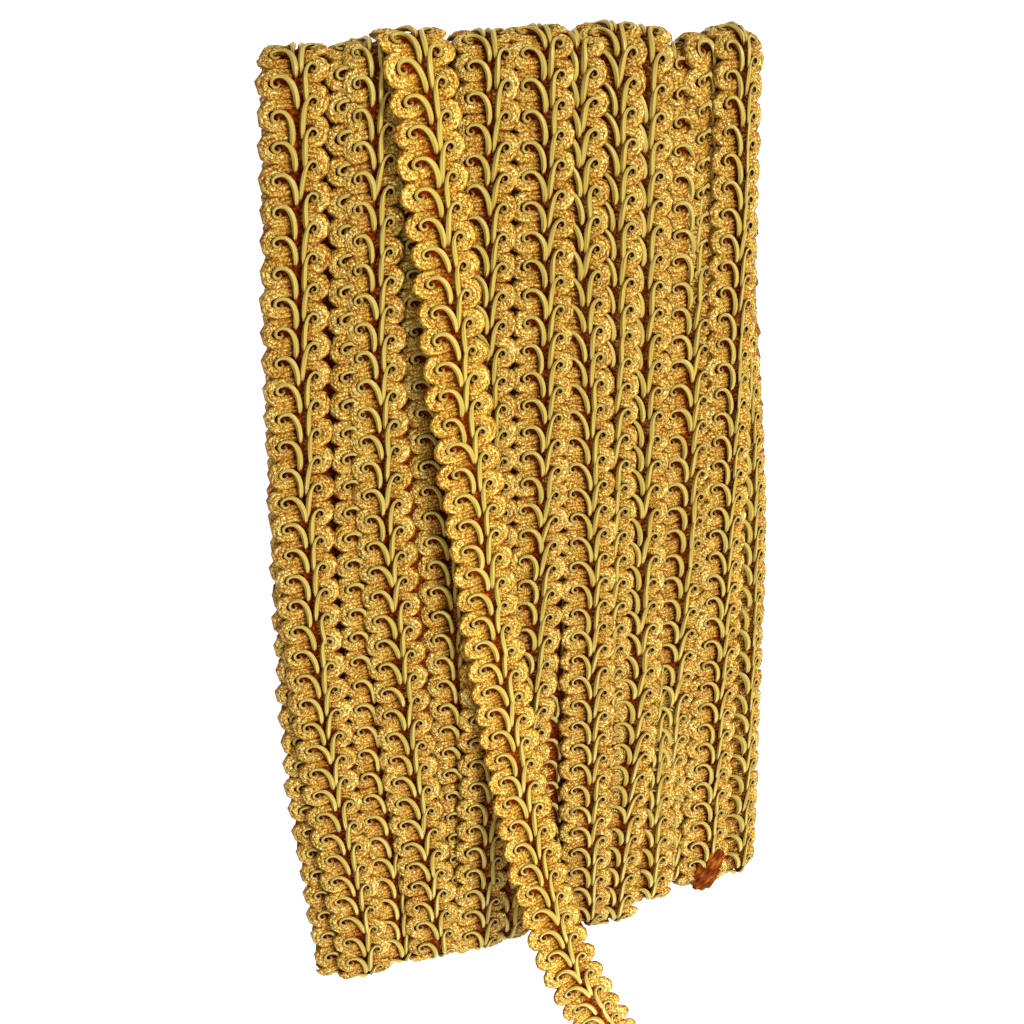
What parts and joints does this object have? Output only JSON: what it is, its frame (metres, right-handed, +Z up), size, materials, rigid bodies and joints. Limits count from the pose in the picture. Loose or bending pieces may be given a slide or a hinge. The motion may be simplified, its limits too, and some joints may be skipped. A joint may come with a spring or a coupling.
{
  "type": "gimp braid trim hank",
  "caption": "Flat wound hank of scalloped gimp braid, lying on its back, with a loose end that folds over its head, crosses its face and runs on past its foot.",
  "frame": {"origin": "middle of the hank's flat back, on the surface that it lies on", "axes": "+X across the turns, +Y along the turns to the fold where the loose end comes over, +Z up out of the face"},
  "size_m": [0.1134, 0.2935, 0.0235],
  "materials": {
    "braid": "antique gold gimp: crinkled yarn scrolls with satin cords and dark red-brown hollows",
    "loose_braid": "the same gold gimp braid, a little brighter because it lies on top in the light"
  },
  "bodies": {
    "root": {"wound_hank": "braid", "loose_end": "loose_braid"}
  },
  "joints": []
}
